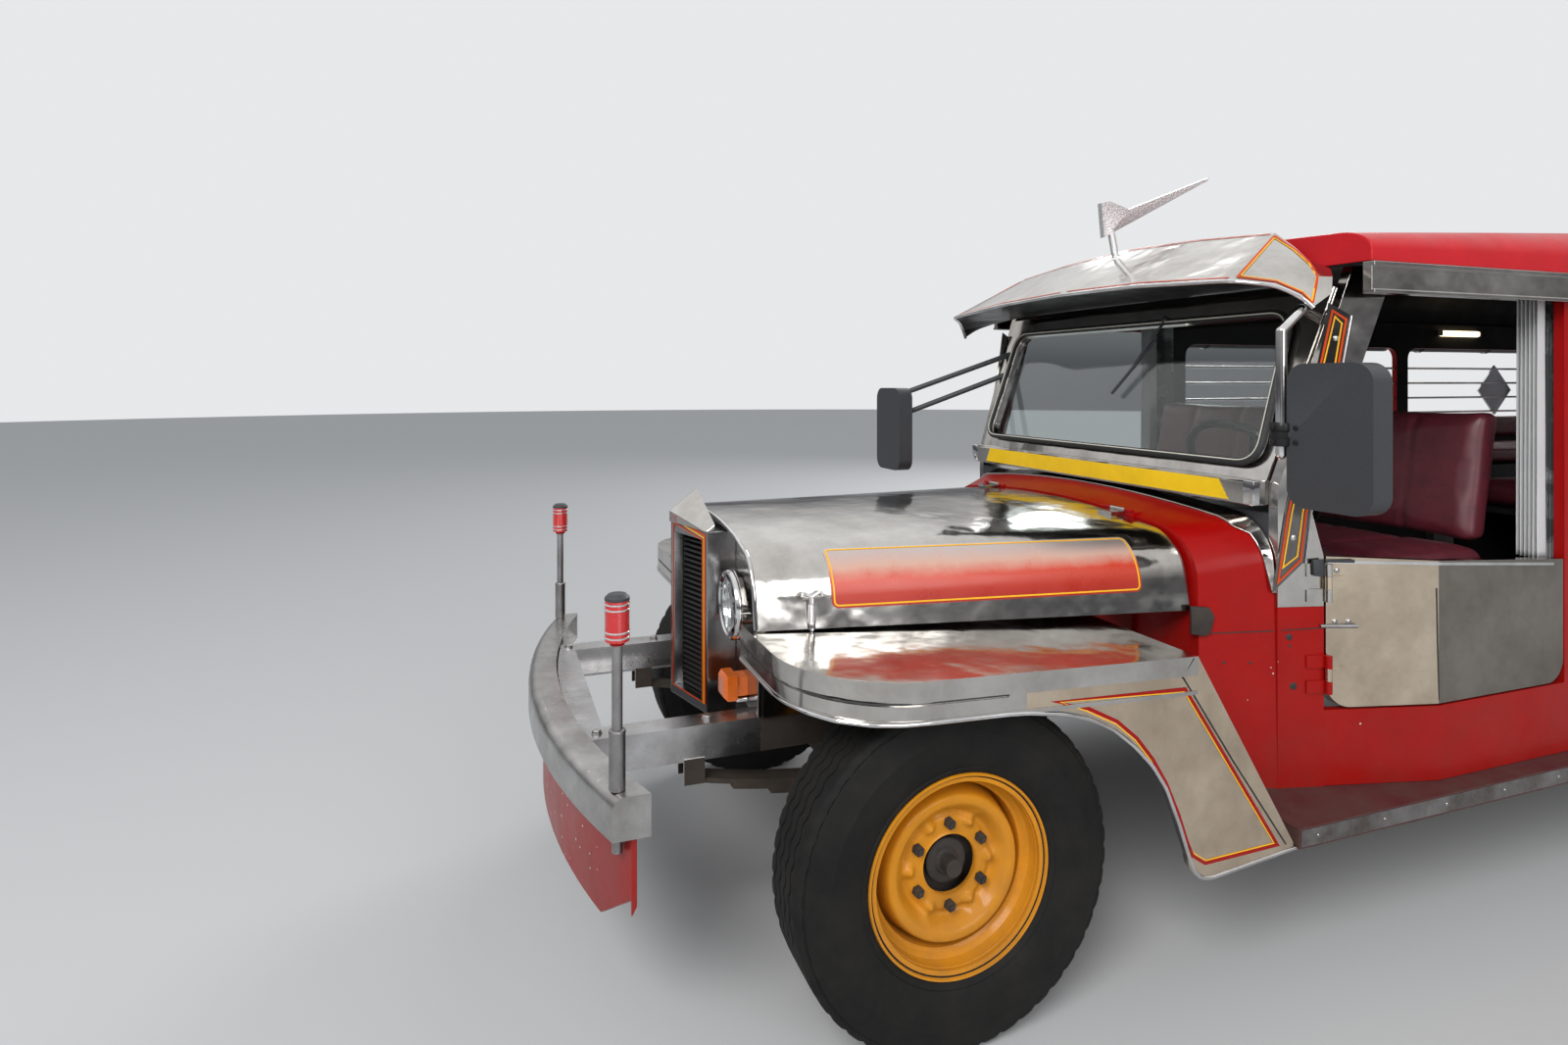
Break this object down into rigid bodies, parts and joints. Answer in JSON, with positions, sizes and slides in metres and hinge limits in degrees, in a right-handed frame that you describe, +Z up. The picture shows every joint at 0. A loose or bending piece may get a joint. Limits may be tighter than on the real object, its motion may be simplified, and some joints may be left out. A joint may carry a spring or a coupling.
{
  "type": "passenger jeepney",
  "caption": "Long open-sided passenger jeepney with a louvred prow grille, flat fenders, half doors, an arched sun visor and bench seats under a crowned roof.",
  "frame": {"origin": "middle of the overall length on the ground, on the centre line", "axes": "+X forward, +Y to the driver's left, +Z up"},
  "size_m": [6.5, 2.12, 2.216],
  "materials": {
    "stainless": "polished stainless sheet",
    "chrome": "bright chrome",
    "red_paint": "gloss red",
    "wheel_paint": "gloss orange yellow",
    "black_paint": "semi-gloss black",
    "chassis_paint": "dull black",
    "cast_iron": "bare casting",
    "board_plate": "plate with a maroon top",
    "tyre": "matt",
    "seat_cover": "padded vinyl",
    "curtain": "woven grey",
    "plastic": "textured",
    "glass": "clear",
    "red_lens": "clear red",
    "orange_lens": "clear orange"
  },
  "bodies": {
    "body": {"body_sides": "red_paint", "bumper_valance": "red_paint", "corner_posts": "stainless", "cowl": "red_paint", "curtains": "curtain", "dashboard": "plastic", "drive_shaft": "chassis_paint", "engine_block": "cast_iron", "exhaust": "cast_iron", "floor_pan": "board_plate", "frame_rails": "chassis_paint", "front_axle": "chassis_paint", "front_bumper": "stainless", "front_fenders": "stainless", "fuel_tank": "chassis_paint", "grille_cap": "stainless", "grille_frame": "red_paint", "grille_louvres": "black_paint", "guide_poles": "chrome", "headlamp_lenses": "glass", "headlamps": "chrome", "leaf_springs": "chassis_paint", "mirrors": "plastic", "nose_panel": "stainless", "pole_lamps": "red_lens", "rear_axle": "cast_iron", "rear_frame": "stainless", "rear_step": "board_plate", "roof_fascia": "stainless", "roof_shell": "red_paint", "running_boards": "board_plate", "seat_bases": "black_paint", "seat_pads": "seat_cover", "tail_lamps": "red_lens", "turn_signals": "orange_lens", "visor": "stainless", "visor_ornament": "chrome", "window_rails": "chrome", "windshield_frame": "stainless", "windshield_glass": "glass"},
    "hood": {"hood": "stainless"},
    "left_door": {"left_door": "stainless"},
    "right_door": {"right_door": "stainless"},
    "left_knuckle": {"left_knuckle": "cast_iron"},
    "right_knuckle": {"right_knuckle": "cast_iron"},
    "tie_rod": {"tie_rod": "chassis_paint"},
    "steering_wheel": {"steering_wheel": "plastic"},
    "front_left_wheel": {"front_left_tyre": "tyre", "front_left_wheel": "wheel_paint"},
    "front_right_wheel": {"front_right_tyre": "tyre", "front_right_wheel": "wheel_paint"},
    "rear_left_wheels": {"rear_left_tyres": "tyre", "rear_left_wheels": "wheel_paint"},
    "rear_right_wheels": {"rear_right_tyres": "tyre", "rear_right_wheels": "wheel_paint"}
  },
  "joints": [
    {"name": "hood_hinge", "type": "hinge", "parent": "body", "child": "hood", "pos_m": [1.556, 0, 1.089], "axis": [0, -1, 0], "range_deg": [0, 60]},
    {"name": "left_door_hinge", "type": "hinge", "parent": "body", "child": "left_door", "pos_m": [1.241, 0.7655, 0.8], "axis": [0, 0, -1], "range_deg": [0, 70]},
    {"name": "right_door_hinge", "type": "hinge", "parent": "body", "child": "right_door", "pos_m": [1.241, -0.7655, 0.8], "axis": [0, 0, 1], "range_deg": [0, 70]},
    {"name": "left_steer", "type": "hinge", "parent": "body", "child": "left_knuckle", "pos_m": [2.382, 0.62, 0.39], "axis": [0, 0, 1], "range_deg": [-30, 30]},
    {"name": "right_steer", "type": "hinge", "parent": "body", "child": "right_knuckle", "pos_m": [2.382, -0.62, 0.39], "axis": [0, 0, 1], "range_deg": [-30, 30]},
    {"name": "tie_rod_pivot", "type": "hinge", "parent": "left_knuckle", "child": "tie_rod", "pos_m": [2.232, 0.62, 0.36], "axis": [0, 0, 1], "range_deg": [-30, 30]},
    {"name": "steering_wheel_turn", "type": "hinge", "parent": "body", "child": "steering_wheel", "pos_m": [1.082, 0.38, 1.18], "axis": [-0.788, 0, 0.6157], "range_deg": [-420, 420]},
    {"name": "front_left_spin", "type": "hinge", "parent": "left_knuckle", "child": "front_left_wheel", "pos_m": [2.382, 0.718, 0.39], "axis": [0, 1, 0], "continuous": true},
    {"name": "front_right_spin", "type": "hinge", "parent": "right_knuckle", "child": "front_right_wheel", "pos_m": [2.382, -0.718, 0.39], "axis": [0, 1, 0], "continuous": true},
    {"name": "rear_left_spin", "type": "hinge", "parent": "body", "child": "rear_left_wheels", "pos_m": [-1.378, 0.614, 0.39], "axis": [0, 1, 0], "continuous": true},
    {"name": "rear_right_spin", "type": "hinge", "parent": "body", "child": "rear_right_wheels", "pos_m": [-1.378, -0.614, 0.39], "axis": [0, 1, 0], "continuous": true}
  ],
  "couplings": [
    {"joint": "right_steer", "follows": "left_steer", "ratio": 1},
    {"joint": "tie_rod_pivot", "follows": "left_steer", "ratio": -1},
    {"joint": "steering_wheel_turn", "follows": "left_steer", "ratio": 14}
  ]
}
